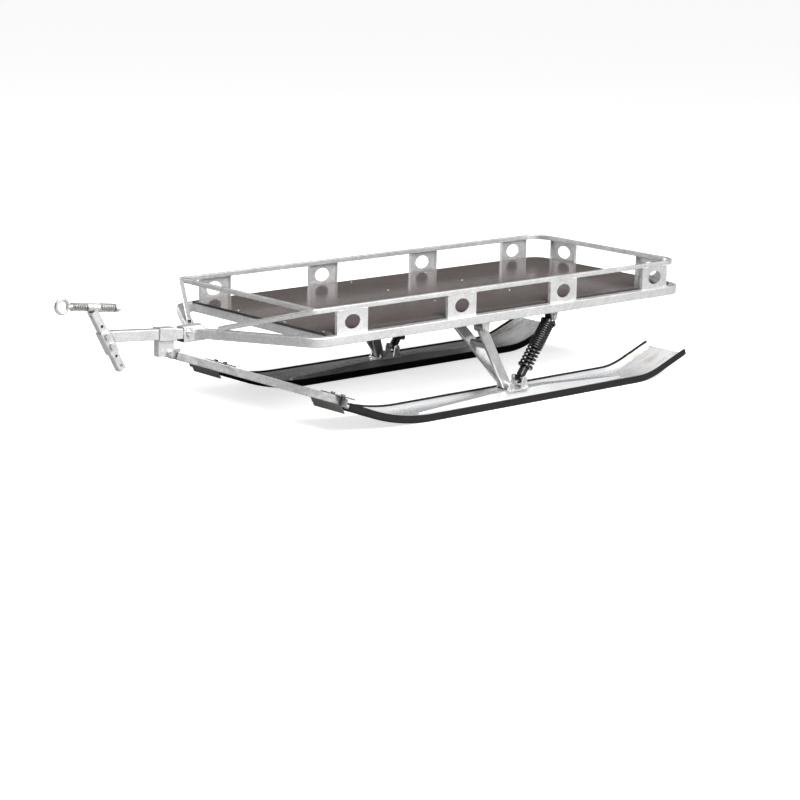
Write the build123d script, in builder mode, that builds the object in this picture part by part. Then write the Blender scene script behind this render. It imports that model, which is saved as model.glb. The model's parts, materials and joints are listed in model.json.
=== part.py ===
"""Log sled: a railed plywood deck on two sprung steel-topped skis, drawn by a swivelling tow eye."""
import os
from math import cos, radians, sin, tan

from build123d import *

os.makedirs("parts", exist_ok=True)

# Overall sizes, in millimetres; x runs forward, y to the left, z up from the snow.
# A size named _at is a station, measured forward from the back of the lower frame.
sled_length = 3206  # back of the lower frame to the front of the tow eye
frame_width = 1000  # outside of the lower frame
frame_base = 381  # underside of the lower frame
clearance = 0.3  # between a pin and its hole, and between parts that slide

# Lower frame: square tubes, bent at the front into two drawbar legs
frame_tube = 40
frame_wall = 3
frame_edge = 3  # cut corner of the tube
rear_bend = 90  # bend of the rear corners, on the tube's centreline
corner_run = 10  # straight end past a rear corner
leg_bend = 90  # bend between a side run and its leg
front_length = 968  # front of the tow eye back to the corner where side run and leg would cross
leg_angle = 58.8  # turn from the side run into the leg, in degrees
front_cross_back = 76  # front cross tube behind that corner

# Guard rail on upright plates
rail_tube = 20
rail_wall = 2
rail_edge = 2
rail_bend = 40
rail_inset = 21  # rail's outside face in from the frame's outside face
stay_reach = 420  # along the leg from its bend to the stay's foot
plate_height = 100
plate_width = 168
plate_sheet = 3
plate_lip = 12  # folded edges, pointing inwards
first_plate_at = 198
last_plate_back = 184  # behind the corner
plate_shares = (0, 0.327, 0.664, 1)  # of the way from the first plate to the last
rear_plate_span = 578  # between the centres of the two rear plates
hole_length = 84
hole_height = 62

# Deck board
deck_thickness = 9
deck_back = 54  # deck's front edge behind the corner
deck_corner = 70
deck_gap = 0.5  # between the deck and the plates' lips

# Tow socket and drawbar
socket_length = 110
socket_width = 53
socket_height = 66
socket_wall = 3
socket_ahead = 21.4  # socket's middle ahead of the point where the legs' axes meet its sides
draw_tube = 45
draw_wall = 4
draw_edge = 3
draw_pitch = 4.6  # the drawbar's nose-up tilt in its socket
draw_tail = 50  # drawbar's tail behind the socket's middle
socket_bolt = 16
socket_bolt_ahead = 28  # from the socket's middle
bolt_head = 14
bolt_head_height = 11

# Collar that slides on the drawbar and draws the skis through two poles
collar_length = 84
collar_wall = 4
collar_gap = 1
collar_ahead = 136  # collar's middle ahead of the socket's middle
bracket_drop = 66
bracket_length = 78
bracket_width = 34
bracket_sheet = 5
pole_tube = 35
pole_wall = 3
pole_edge = 2.5
pole_rise = 19.3
pole_bolt = 14
pole_bolt_back = 18  # behind the collar's middle
pole_end_back = 95  # pole's lower end behind the ski's tip
tab_back = 46  # tab behind its bolt
tab_height = 38
tab_sheet = 8
plug_start = 26  # solid plug between tab and tube, along the pole from the bolt
tube_start = 56

# Hitch bar: a leaning tube with a row of holes, clamped to the drawbar's nose
hitch_meets = 138  # ring centre back along the shank to the hitch bar's axis
hitch_lean = 28
hitch_tube = 35
hitch_wall = 3.5
hitch_edge = 2.5
hitch_below = 164  # bar's lower end below the drawbar's axis
hitch_hole = 13
hitch_hole_first = 52  # highest hole above the drawbar's axis
hitch_hole_pitch = 49
hitch_hole_count = 5
front_hole_drop = 18  # hole in the front face, below the bar's top
clamp_wall = 5
clamp_above = 26
clamp_below = 80

# Tow eye on a sprung shank
eye_pitch = 7.5
eye_rise = 180  # ring's centre above the middle of the lower frame
eye_ring = 56  # diameter of the ring's centreline
eye_wire = 12  # across the flats of the ring's eight-sided section
shank = 20
shank_tail = 283  # ring centre to the shank's tail
sleeve_length = 58
sleeve_outside = 35
sleeve_middle = 148  # ring centre back to the sleeve's middle
eye_spring_outside = 36
eye_spring_bore = 24
eye_coils = 8
flange_at = 45  # ring centre back to the spring's front seat
rear_seat_at = 256  # ring centre back to the rear washer
washer = 34
washer_sheet = 3
nut_flats = 30
nut_height = 15

# Skis: black plastic runners with turned-up lips under bright steel sheets
ski_inset = 66.5  # ski's middle in from the frame's outside face
ski_width = 254
ski_lip = 35
ski_wall = 8
ski_edge = 10
ski_tail_at = 40
ski_tip_back = 103  # ski's tip behind the frame's corner
ski_rear_bend_at = 286
ski_front_run = 296  # ski's tip back to its front bend
ski_rise = 20.6  # slope of both turned-up ends
ski_rear_radius = 430
ski_front_radius = 990
sheet = 2
sheet_flange = 19  # turned-up edges of the sheet, against the lips
rib_slope = 55
rib_width = 96
rib_height = 33
rib_end_width = 30
rib_end_height = 5
rib_behind = 249  # full rib from this far behind the saddle pin
rib_before = 91  # to this far ahead of it
rib_rear_gap = 86  # rib's rear end ahead of the ski's rear bend
rib_front_gap = 199  # rib's front end behind the ski's front bend

# Ski tips: a plate bent down over the tip carries the pole under a clamp bar
nose_width = 198
nose_inset = 8  # its middle inwards from the ski's middle
nose_sheet = 4
nose_reach = 150  # along the ski, behind the tip
nose_ahead = 18.5
nose_flap = 40
nose_lean = 28  # of the flap, from upright
clamp_bar_length = 180
clamp_bar_width = 40
clamp_bar_sheet = 5
clamp_bar_back = 62  # bar's middle behind the tip, along the ski
tip_bolt = 10
tip_bolt_head = 7
tip_bolt_span = 66

# Suspension: an arm and a coil-over shock to each ski
saddle_share = 0.4955  # saddle pin's station as a share of the side run
arm_pivot_ahead = 190  # upper pivots ahead of the saddle pin
arm_pivot_drop = 25  # upper pivots below the frame
arm_outer_inset = 34  # outer upper pivot in from the frame's outside face
arm_inner_inset = 200  # inner upper pivot in from the frame's outside face
arm_bar = 48
arm_bar_thick = 20
arm_edge = 3
arm_eye = 34
arm_eye_length = 46
arm_pin = 14
brace_share = 0.32  # brace between the legs, as a share of their length
brace_width = 34
brace_thick = 14
ear_sheet = 6
ear_width = 46
ear_root = 1
saddle_length = 165
saddle_width = 72
saddle_sheet = 6
saddle_ear_height = 26
saddle_pin_height = 68
shock_foot_back = 85  # behind the saddle pin
shock_foot_height = 88
shock_top_back = 275  # behind the saddle pin
shock_top_drop = 30  # below the frame
shock_eye = 30
shock_eye_length = 32
shock_neck = 24
shock_pin = 12
damper = 40
damper_inner = 32
damper_rod = 14
body_start = 14  # along the shock from its lower eye
lower_seat_at = 58
body_end = 205
upper_seat_at = 294
seat = 58
seat_sheet = 5
spring_outside = 58
spring_bore = 36
spring_wire = 9
spring_open_coils = 5
spring_open_pitch = 19
spring_close_coils = 12

# Places worked out from the sizes above
back = -sled_length / 2
frame_top = frame_base + frame_tube
frame_mid = frame_base + frame_tube / 2
side_y = frame_width / 2 - frame_tube / 2
rail_y = frame_width / 2 - rail_inset - rail_tube / 2
rail_mid = frame_top + plate_height + rail_tube / 2
plate_y = frame_width / 2 - rail_inset
rail_back = back + rail_inset + rail_tube / 2
leg_x = cos(radians(leg_angle))
leg_y = sin(radians(leg_angle))
side_run = sled_length - front_length
bend_x = back + side_run
rail_front = bend_x + (side_y - rail_y) * leg_x / leg_y
eye_x = sled_length / 2 - eye_ring / 2 - eye_wire / 2
socket_at = side_run + (side_y - socket_width / 2) * leg_x / leg_y + socket_ahead
collar_at = socket_at + collar_ahead
pole_bolt_at = collar_at - pole_bolt_back
ski_tip_at = side_run - ski_tip_back
pole_end_at = ski_tip_at - pole_end_back
saddle_pin_at = side_run * saddle_share
arm_pivot_at = saddle_pin_at + arm_pivot_ahead
shock_foot_at = saddle_pin_at - shock_foot_back
shock_top_at = saddle_pin_at - shock_top_back
arm_outer = frame_width / 2 - arm_outer_inset
arm_inner = frame_width / 2 - arm_inner_inset
arm_pivot_height = frame_base - arm_pivot_drop
shock_top_height = frame_base - shock_top_drop
ski_y = frame_width / 2 - ski_inset
sides = (("left", 1), ("right", -1))


def write(piece, name):
    """Label a finished piece and save it under its name."""
    piece.part.label = name
    export_step(piece.part, f"parts/{name}.step")


def write_group(solids, name):
    """Save like pieces that don't touch as one named group."""
    with BuildPart() as group:
        for solid in solids:
            add(solid)
    write(group, name)


def bar_section(width, height, edge):
    """Rectangle with cut corners, in the current sketch."""
    Rectangle(width, height)
    chamfer(vertices(), edge)


def tube_section(width, height, wall, edge):
    """Hollow rectangle with cut outside corners, in the current sketch."""
    bar_section(width, height, edge)
    Rectangle(width - 2 * wall, height - 2 * wall, mode=Mode.SUBTRACT)


def across(centre):
    """Plane through a point, square to the sled's width, with its y pointing down."""
    return Plane(centre, x_dir=(1, 0, 0), z_dir=(0, 1, 0))


def through_bolt(centre, size, head, head_height, grip):
    """Bolt across the sled: shank, hexagon head and nut outside the grip."""
    with BuildPart() as bolt:
        with BuildSketch(across(centre)):
            Circle(size / 2)
        extrude(amount=grip / 2 + head_height, both=True)
        for end in (1, -1):
            with BuildSketch(across(centre).offset(end * grip / 2)):
                RegularPolygon(head, 6)
            extrude(amount=end * head_height)
    return bolt.part


# Lower frame: side run and leg in one bent tube on each side
leg_length = (side_y - socket_width / 2) / leg_y + frame_tube
side_start = back + frame_tube / 2 + rear_bend + corner_run
for side, sign in sides:
    leg_end = (bend_x + leg_length * leg_x, sign * (side_y - leg_length * leg_y), frame_mid)
    with BuildPart() as frame_side:
        with BuildLine() as run:
            FilletPolyline(
                (side_start, sign * side_y, frame_mid),
                (bend_x, sign * side_y, frame_mid),
                leg_end,
                radius=leg_bend,
            )
        with BuildSketch(Plane(run.line @ 0, x_dir=(0, 1, 0), z_dir=run.line % 0)):
            tube_section(frame_tube, frame_tube, frame_wall, frame_edge)
        sweep()
        split(bisect_by=Plane((0, sign * socket_width / 2, 0), z_dir=(0, sign, 0)), keep=Keep.TOP)
    write(frame_side, f"frame_{side}")

with BuildPart() as frame_rear:
    with BuildLine() as run:
        FilletPolyline(
            (side_start, side_y, frame_mid),
            (back + frame_tube / 2, side_y, frame_mid),
            (back + frame_tube / 2, -side_y, frame_mid),
            (side_start, -side_y, frame_mid),
            radius=rear_bend,
        )
    with BuildSketch(Plane(run.line @ 0, x_dir=(0, 1, 0), z_dir=run.line % 0)):
        tube_section(frame_tube, frame_tube, frame_wall, frame_edge)
    sweep()
write(frame_rear, "frame_rear")

# Cross tubes between the side runs: front one, arm bearer and shock bearer
cross_tubes = (
    # name, station from the frame back
    ("cross_tube_front", side_run - front_cross_back),
    ("cross_tube_arms", arm_pivot_at),
    ("cross_tube_shocks", shock_top_at),
)
for name, station in cross_tubes:
    with BuildPart() as cross_tube:
        with BuildSketch(across((back + station, 0, frame_mid))):
            tube_section(frame_tube, frame_tube, frame_wall, frame_edge)
        extrude(amount=side_y - frame_tube / 2, both=True)
    write(cross_tube, name)

# Guard rail: side run bent down into a stay that lands on the frame leg
stay_drop = (rail_mid - frame_top) / stay_reach
stay_length = stay_reach + rail_tube
rail_start = rail_back + rear_bend + corner_run
rail_outlines = []
for side, sign in sides:
    stay_end = (
        bend_x + stay_length * leg_x,
        sign * (side_y - stay_length * leg_y),
        frame_top + rail_tube / 2 - rail_tube * stay_drop,
    )
    with BuildLine() as run:
        FilletPolyline(
            (rail_start, sign * rail_y, rail_mid),
            (rail_front, sign * rail_y, rail_mid),
            stay_end,
            radius=rail_bend,
        )
    start = Plane(run.line @ 0, x_dir=(0, 1, 0), z_dir=run.line % 0)
    with BuildPart() as outline:
        with BuildSketch(start):
            bar_section(rail_tube, rail_tube, rail_edge)
        sweep(path=run.line)
    rail_outlines.append(outline.part)
    with BuildPart() as rail_side:
        with BuildSketch(start):
            tube_section(rail_tube, rail_tube, rail_wall, rail_edge)
        sweep(path=run.line)
        split(bisect_by=Plane.XY.offset(frame_top), keep=Keep.TOP)
    write(rail_side, f"rail_{side}")

with BuildPart() as rail_rear:
    with BuildLine() as run:
        FilletPolyline(
            (rail_start, rail_y, rail_mid),
            (rail_back, rail_y, rail_mid),
            (rail_back, -rail_y, rail_mid),
            (rail_start, -rail_y, rail_mid),
            radius=rear_bend,
        )
    with BuildSketch(Plane(run.line @ 0, x_dir=(0, 1, 0), z_dir=run.line % 0)):
        tube_section(rail_tube, rail_tube, rail_wall, rail_edge)
    sweep()
write(rail_rear, "rail_rear")

# Front bar, its ends shaped to the bent rails
with BuildPart() as rail_front_bar:
    with BuildSketch(across((rail_front, 0, rail_mid))):
        tube_section(rail_tube, rail_tube, rail_wall, rail_edge)
    extrude(amount=rail_y - 2 * rail_wall, both=True)
    for outline in rail_outlines:
        add(outline, mode=Mode.SUBTRACT)
write(rail_front_bar, "rail_front")


def upright_plate(centre, outward):
    """One folded plate standing on the frame, its lips turned away from the outward direction."""
    face = Plane(centre, x_dir=Vector(0, 0, 1).cross(Vector(outward)), z_dir=outward)
    with BuildPart() as plate:
        with BuildSketch(face):
            Rectangle(plate_width, plate_height, align=(Align.CENTER, Align.MIN))
            with Locations((0, plate_height / 2)):
                Ellipse(hole_length / 2, hole_height / 2, mode=Mode.SUBTRACT)
        extrude(amount=-plate_sheet)
        with BuildSketch(face.offset(-plate_sheet)):
            with GridLocations(plate_width - plate_sheet, 0, 2, 1):
                Rectangle(plate_sheet, plate_height, align=(Align.CENTER, Align.MIN))
        extrude(amount=-plate_lip)
    return plate.part


# Upright plates with lashing holes
plate_run = side_run - last_plate_back - first_plate_at
plates_at = [first_plate_at + share * plate_run for share in plate_shares]
for side, sign in sides:
    places = [(back + station, sign * plate_y, frame_top) for station in plates_at]
    write_group([upright_plate(place, (0, sign, 0)) for place in places], f"plates_{side}")

rear_places = [(back + rail_inset, sign * rear_plate_span / 2, frame_top) for sign in (1, -1)]
write_group([upright_plate(place, (-1, 0, 0)) for place in rear_places], "plates_rear")

# Deck board between the plates' lips
deck_inset = rail_inset + plate_sheet + plate_lip + deck_gap
deck_length = side_run - deck_back - deck_inset
with BuildPart() as deck:
    with BuildSketch(Plane((back + deck_inset + deck_length / 2, 0, frame_top))):
        Rectangle(deck_length, frame_width - 2 * deck_inset)
    extrude(amount=deck_thickness)
    fillet(deck.edges().filter_by(Axis.Z).group_by(Axis.X)[0], deck_corner)
write(deck, "deck")

# Drawbar's own directions, along it and square to the leaning hitch bar
draw_dir = Vector(cos(radians(draw_pitch)), 0, sin(radians(draw_pitch)))
draw_normal = Vector(-sin(radians(draw_pitch)), 0, cos(radians(draw_pitch)))
draw_origin = Vector(back + socket_at, 0, frame_mid)
hitch_up = Vector(sin(radians(hitch_lean)), 0, cos(radians(hitch_lean)))
hitch_front = Vector(cos(radians(hitch_lean)), 0, -sin(radians(hitch_lean)))


def on_drawbar(station):
    """Point of the drawbar's axis at a distance from the frame back."""
    return draw_origin + draw_dir * ((station - socket_at) / cos(radians(draw_pitch)))


# Tow socket between the legs
draw_bolt_centre = on_drawbar(socket_at + socket_bolt_ahead)
with BuildPart() as tow_socket:
    with BuildSketch(Plane(draw_origin, x_dir=(0, 1, 0), z_dir=(1, 0, 0))):
        tube_section(socket_width, socket_height, socket_wall, draw_edge)
    extrude(amount=socket_length / 2, both=True)
    with BuildSketch(across(draw_bolt_centre)):
        Circle(socket_bolt / 2 + clearance)
    extrude(amount=socket_width, both=True, mode=Mode.SUBTRACT)
write(tow_socket, "tow_socket")

# Tow eye's axis, from the ring's centre back along the shank, and the hitch bar's axis that meets it
eye_centre = Vector(eye_x, 0, frame_mid + eye_rise)
eye_back = Vector(-cos(radians(eye_pitch)), 0, -sin(radians(eye_pitch)))
hitch_top = eye_centre + eye_back * hitch_meets
hitch_reach = (hitch_top - draw_origin).dot(draw_normal) / hitch_up.dot(draw_normal)
hitch_point = hitch_top - hitch_up * hitch_reach
hitch_above = hitch_reach - sleeve_outside / 2

# Drawbar from the socket to the back of the hitch clamp
clamp_size = hitch_tube + 2 * clamp_wall
clamp_back = hitch_point - hitch_front * (clamp_size / 2)
with BuildPart() as drawbar:
    with BuildSketch(Plane(draw_origin - draw_dir * draw_tail, x_dir=(0, 1, 0), z_dir=draw_dir)):
        tube_section(draw_tube, draw_tube, draw_wall, draw_edge)
    extrude(amount=(hitch_point - draw_origin).length + socket_length)
    split(bisect_by=Plane(clamp_back, z_dir=hitch_front), keep=Keep.BOTTOM)
    with BuildSketch(across(draw_bolt_centre)):
        Circle(socket_bolt / 2 + clearance)
    extrude(amount=draw_tube, both=True, mode=Mode.SUBTRACT)
write(drawbar, "drawbar")

with BuildPart() as draw_bolt:
    add(through_bolt(draw_bolt_centre, socket_bolt, bolt_head, bolt_head_height, socket_width))
write(draw_bolt, "drawbar_bolt")

# Ski path in side view: tail, rear bend, front bend, tip
ski_slope = tan(radians(ski_rise))
tail_x = back + ski_tail_at
tip_x = back + ski_tip_at
rear_bend_x = back + ski_rear_bend_at
front_bend_x = tip_x - ski_front_run
tail_z = (rear_bend_x - tail_x) * ski_slope
tip_z = (tip_x - front_bend_x) * ski_slope
sheet_base = ski_wall + clearance
sheet_top = sheet_base + sheet
ski_along = Vector(cos(radians(ski_rise)), 0, sin(radians(ski_rise)))
ski_normal = Vector(-sin(radians(ski_rise)), 0, cos(radians(ski_rise)))


def ski_line(y, lift):
    """The ski's side-view line, raised square to itself by lift."""
    shift = lift * tan(radians(ski_rise / 2))
    return FilletPolyline(
        (tail_x - ski_normal.X * lift, y, tail_z + ski_normal.Z * lift),
        (rear_bend_x + shift, y, lift),
        (front_bend_x - shift, y, lift),
        (tip_x + ski_normal.X * lift, y, tip_z + ski_normal.Z * lift),
        radius=[ski_rear_radius - lift, ski_front_radius - lift],
    )


# Plastic runner: a bar of the outside form with a trough swept out of it
for side, sign in sides:
    with BuildPart() as trough:
        with BuildLine() as run:
            ski_line(sign * ski_y, ski_wall)
        with BuildSketch(Plane(run.line @ 0, x_dir=(0, 1, 0), z_dir=run.line % 0)):
            Rectangle(ski_width - 2 * ski_wall, ski_lip, align=(Align.CENTER, Align.MIN))
        sweep()
    with BuildPart() as ski_base:
        with BuildLine() as run:
            ski_line(sign * ski_y, 0)
        with BuildSketch(Plane(run.line @ 0, x_dir=(0, 1, 0), z_dir=run.line % 0)) as section:
            Rectangle(ski_width, ski_lip, align=(Align.CENTER, Align.MIN))
            chamfer(section.vertices().group_by(Axis.Y)[0], ski_edge)
        sweep()
        add(trough.part, mode=Mode.SUBTRACT)
    write(ski_base, f"ski_base_{side}")

# Bright steel sheet in the trough, its edges turned up, raised to a rib under the saddle
sheet_width = ski_width - 2 * ski_wall - 2 * clearance
rib_sections = (
    # place along the sled, width, height
    (rear_bend_x + rib_rear_gap, rib_end_width, rib_end_height),
    (back + saddle_pin_at - rib_behind, rib_width, rib_height),
    (back + saddle_pin_at + rib_before, rib_width, rib_height),
    (front_bend_x - rib_front_gap, rib_end_width, rib_end_height),
)
for side, sign in sides:
    with BuildPart() as ski_sheet:
        with BuildLine() as run:
            ski_line(sign * ski_y, sheet_base)
        with BuildSketch(Plane(run.line @ 0, x_dir=(0, 1, 0), z_dir=run.line % 0)):
            Rectangle(sheet_width, sheet_flange, align=(Align.CENTER, Align.MIN))
            with Locations((0, sheet)):
                Rectangle(
                    sheet_width - 2 * sheet,
                    sheet_flange,
                    align=(Align.CENTER, Align.MIN),
                    mode=Mode.SUBTRACT,
                )
        sweep()
        for x, width, height in rib_sections:
            foot = (x, sign * ski_y, sheet_base)
            with BuildSketch(Plane(foot, x_dir=(0, 1, 0), z_dir=(1, 0, 0))):
                Trapezoid(width, height + sheet, rib_slope, align=(Align.CENTER, Align.MIN))
        loft(ruled=True)
    write(ski_sheet, f"ski_sheet_{side}")

# Plane of the draw poles: resting on the nose plates, up to the collar's bolt
tip = Vector(tip_x, 0, tip_z)
nose_corner = tip + ski_along * nose_ahead + ski_normal * (sheet_top + clearance + nose_sheet / 2)
pole_normal = Vector(-sin(radians(pole_rise)), 0, cos(radians(pole_rise)))
pole_rest = nose_corner + ski_normal * (nose_sheet / 2) + pole_normal * (clearance + pole_tube / 2)


def pole_height(station):
    """Height of the poles' centrelines at a distance from the frame back."""
    return pole_rest.Z + (back + station - pole_rest.X) * tan(radians(pole_rise))


pole_bolt_centre = Vector(back + pole_bolt_at, 0, pole_height(pole_bolt_at))

# Collar on the drawbar with the bracket that takes both draw poles
collar_bore = draw_tube + 2 * collar_gap
collar_out = collar_bore + 2 * collar_wall
collar_mid = on_drawbar(collar_at)
bracket_top = collar_mid.Z - collar_out / 2 + collar_wall / 2
bracket_front = collar_mid.X + collar_length / 2
with BuildPart() as collar:
    with BuildSketch(Plane(collar_mid, x_dir=(0, 1, 0), z_dir=draw_dir)):
        tube_section(collar_out, collar_out, collar_wall, draw_edge)
    extrude(amount=collar_length / 2, both=True)
    with BuildSketch(Plane((bracket_front, 0, bracket_top - bracket_drop))):
        Rectangle(bracket_length, bracket_width, align=(Align.MAX, Align.CENTER))
        with Locations((-bracket_sheet, 0)):
            Rectangle(
                bracket_length,
                bracket_width - 2 * bracket_sheet,
                align=(Align.MAX, Align.CENTER),
                mode=Mode.SUBTRACT,
            )
    extrude(amount=bracket_drop)
    with BuildSketch(across(pole_bolt_centre)):
        Circle(pole_bolt / 2 + clearance)
    extrude(amount=bracket_width, both=True, mode=Mode.SUBTRACT)
write(collar, "pole_collar")

# Draw poles: square tubes with a flat tab at the collar end
pole_pin_y = bracket_width / 2 + clearance + tab_sheet / 2
pole_feet = {}
pole_pins = {}
for side, sign in sides:
    foot = Vector(back + pole_end_at, sign * ski_y, pole_height(pole_end_at))
    pin = pole_bolt_centre + Vector(0, sign * pole_pin_y, 0)
    pole_feet[side] = foot
    pole_pins[side] = pin
    along = (foot - pin).normalized()
    sideways = pole_normal.cross(along)
    with BuildPart() as pole:
        with BuildSketch(Plane(pin + along * tube_start, x_dir=sideways, z_dir=along)):
            tube_section(pole_tube, pole_tube, pole_wall, pole_edge)
        extrude(amount=(foot - pin).length - tube_start)
        with BuildSketch(Plane(pin + along * plug_start, x_dir=sideways, z_dir=along)):
            bar_section(pole_tube, pole_tube, pole_edge)
        extrude(amount=tube_start - plug_start)
        split(bisect_by=Plane((0, pin.Y - sign * tab_sheet / 2, 0), z_dir=(0, sign, 0)), keep=Keep.TOP)
        with BuildSketch(across(pin)):
            Circle(tab_height / 2)
            Rectangle(tab_back, tab_height, align=(Align.MAX, Align.CENTER))
            Circle(pole_bolt / 2 + clearance, mode=Mode.SUBTRACT)
        extrude(amount=tab_sheet / 2, both=True)
    write(pole, f"pole_{side}")

with BuildPart() as pole_pin:
    pole_grip = bracket_width + 2 * clearance + 2 * tab_sheet
    add(through_bolt(pole_bolt_centre, pole_bolt, bolt_head, bolt_head_height, pole_grip))
write(pole_pin, "pole_bolt")

# Nose plate on each ski, bent down over the tip
for side, sign in sides:
    with BuildPart() as nose:
        corner = nose_corner + Vector(0, sign * (ski_y - nose_inset), 0)
        with BuildSketch(Plane(corner, x_dir=(1, 0, 0), z_dir=(0, -1, 0))):
            with BuildLine():
                Polyline(
                    (-(nose_reach + nose_ahead) * ski_along.X, -(nose_reach + nose_ahead) * ski_along.Z),
                    (0, 0),
                    (-nose_flap * sin(radians(nose_lean)), -nose_flap * cos(radians(nose_lean))),
                )
            trace(line_width=nose_sheet)
        extrude(amount=nose_width / 2, both=True)
    write(nose, f"ski_nose_{side}")

# Clamp bar over each pole, on two bolts that stand on the nose plate
nose_top = Plane(nose_corner + ski_normal * (nose_sheet / 2 + clearance), z_dir=ski_normal)
bar_x = tip_x - clamp_bar_back * ski_along.X
for side, sign in sides:
    foot = pole_feet[side]
    pin = pole_pins[side]
    on_pole = foot + (pin - foot) * ((bar_x - foot.X) / (pin.X - foot.X))
    bar_base = on_pole + pole_normal * (pole_tube / 2 + clearance)
    bar_top = bar_base + pole_normal * clamp_bar_sheet
    with BuildPart() as clamp_bar:
        with BuildSketch(Plane(bar_base, x_dir=(0, 1, 0), z_dir=pole_normal)):
            with GridLocations(tip_bolt_span, 0, 2, 1):
                Circle(tip_bolt / 2)
        extrude(amount=-2 * pole_tube)
        split(bisect_by=nose_top, keep=Keep.TOP)
        with BuildSketch(Plane(bar_base, x_dir=(0, 1, 0), z_dir=pole_normal)):
            Rectangle(clamp_bar_length, clamp_bar_width)
        extrude(amount=clamp_bar_sheet)
        with BuildSketch(Plane(bar_top, x_dir=(0, 1, 0), z_dir=pole_normal)):
            with GridLocations(tip_bolt_span, 0, 2, 1):
                RegularPolygon(tip_bolt, 6)
        extrude(amount=tip_bolt_head)
    write(clamp_bar, f"tip_clamp_{side}")

# Hitch clamp: a short square sleeve on the drawbar's nose
hitch_holes = [hitch_hole_first - i * hitch_hole_pitch for i in range(hitch_hole_count)]
clamp_bolts_at = [along for along in hitch_holes if -clamp_below < along < clamp_above]
with BuildPart() as hitch_clamp:
    with BuildSketch(Plane(hitch_point - hitch_up * clamp_below, x_dir=(0, 1, 0), z_dir=hitch_up)):
        tube_section(clamp_size, clamp_size, clamp_wall - clearance, hitch_edge)
    extrude(amount=clamp_below + clamp_above)
    with BuildSketch(Plane(hitch_point, x_dir=hitch_up, z_dir=(0, 1, 0))):
        with Locations(*[(along, 0) for along in clamp_bolts_at]):
            Circle(hitch_hole / 2)
    extrude(amount=clamp_size, both=True, mode=Mode.SUBTRACT)
write(hitch_clamp, "hitch_clamp")

clamp_bolt = hitch_hole - 2 * clearance
write_group(
    [
        through_bolt(hitch_point + hitch_up * along, clamp_bolt, bolt_head, bolt_head_height, clamp_size)
        for along in clamp_bolts_at
    ],
    "clamp_bolts",
)

# Sleeve that carries the tow eye's shank
sleeve_front = sleeve_middle - sleeve_length / 2
sleeve_back = sleeve_middle + sleeve_length / 2


def across_shank(distance):
    """Plane square to the shank at a distance behind the ring's centre."""
    return Plane(eye_centre + eye_back * distance, x_dir=(0, 1, 0), z_dir=eye_back)


with BuildPart() as eye_sleeve:
    with BuildSketch(across_shank(sleeve_front)):
        Circle(sleeve_outside / 2)
        Circle(shank / 2 + clearance, mode=Mode.SUBTRACT)
    extrude(amount=sleeve_length)
write(eye_sleeve, "eye_sleeve")

# Hitch bar, hollowed out at its top for the sleeve
front_hole = hitch_point + hitch_up * (hitch_above - front_hole_drop)
with BuildPart() as hitch_bar:
    with BuildSketch(Plane(hitch_point - hitch_up * hitch_below, x_dir=(0, 1, 0), z_dir=hitch_up)):
        tube_section(hitch_tube, hitch_tube, hitch_wall, hitch_edge)
    extrude(amount=hitch_below + hitch_above)
    with BuildSketch(Plane(hitch_point, x_dir=hitch_up, z_dir=(0, 1, 0))):
        with Locations(*[(along, 0) for along in hitch_holes]):
            Circle(hitch_hole / 2)
    extrude(amount=hitch_tube, both=True, mode=Mode.SUBTRACT)
    with BuildSketch(Plane(front_hole, x_dir=(0, 1, 0), z_dir=hitch_front)):
        Circle(hitch_hole / 2)
    extrude(amount=hitch_tube, mode=Mode.SUBTRACT)
    with BuildSketch(across_shank(0)):
        Circle(sleeve_outside / 2)
    extrude(amount=shank_tail, mode=Mode.SUBTRACT)
write(hitch_bar, "hitch_bar")

# Tow eye: ring of eight-sided section, shank and front spring seat in one forging
with BuildPart() as tow_eye:
    with BuildSketch(Plane(eye_centre, x_dir=(0, 0, 1), z_dir=eye_back)):
        with Locations((eye_ring / 2, 0)):
            RegularPolygon(eye_wire / 2, 8, major_radius=False, rotation=22.5)
    revolve(axis=Axis(eye_centre, (0, 1, 0)))
    with BuildSketch(across_shank(eye_ring / 2)):
        Circle(shank / 2)
    extrude(amount=shank_tail - eye_ring / 2)
    with BuildSketch(across_shank(flange_at)):
        Circle(washer / 2)
    extrude(amount=washer_sheet)
write(tow_eye, "tow_eye")

with BuildPart() as eye_nut:
    with BuildSketch(across_shank(rear_seat_at)):
        Circle(washer / 2)
        Circle(shank / 2, mode=Mode.SUBTRACT)
    extrude(amount=washer_sheet)
    with BuildSketch(across_shank(rear_seat_at + washer_sheet)):
        RegularPolygon(nut_flats / 2, 6, major_radius=False)
        Circle(shank / 2, mode=Mode.SUBTRACT)
    extrude(amount=nut_height)
write(eye_nut, "eye_nut")


def coil_sleeve(base, bore, outside, runs):
    """Spring standing on a plane, as a sleeve with one ridge to each coil of its runs."""
    root = (bore + outside) / 4
    outline = [(bore / 2, 0)]
    start = 0
    for coils, pitch, ridge in runs:
        for i in range(coils):
            middle = start + (i + 0.5) * pitch
            outline.append((root, middle - ridge / 2))
            outline.append((outside / 2, middle))
            if ridge < pitch:
                outline.append((root, middle + ridge / 2))
        start = start + coils * pitch
    outline.append((root, start))
    outline.append((bore / 2, start))
    with BuildPart() as coil:
        with BuildSketch(Plane(base.origin, x_dir=base.x_dir, z_dir=base.x_dir.cross(base.z_dir))):
            with BuildLine():
                Polyline(*outline, close=True)
            make_face()
        revolve(axis=Axis(base.origin, base.z_dir))
    return coil.part


# Draw springs before and behind the sleeve
eye_springs = []
for start, end in (
    (flange_at + washer_sheet + clearance, sleeve_front),
    (sleeve_back, rear_seat_at - clearance),
):
    pitch = (end - start) / eye_coils
    run = (eye_coils, pitch, pitch)
    eye_springs.append(coil_sleeve(across_shank(start), eye_spring_bore, eye_spring_outside, [run]))
write_group(eye_springs, "eye_springs")


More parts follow.
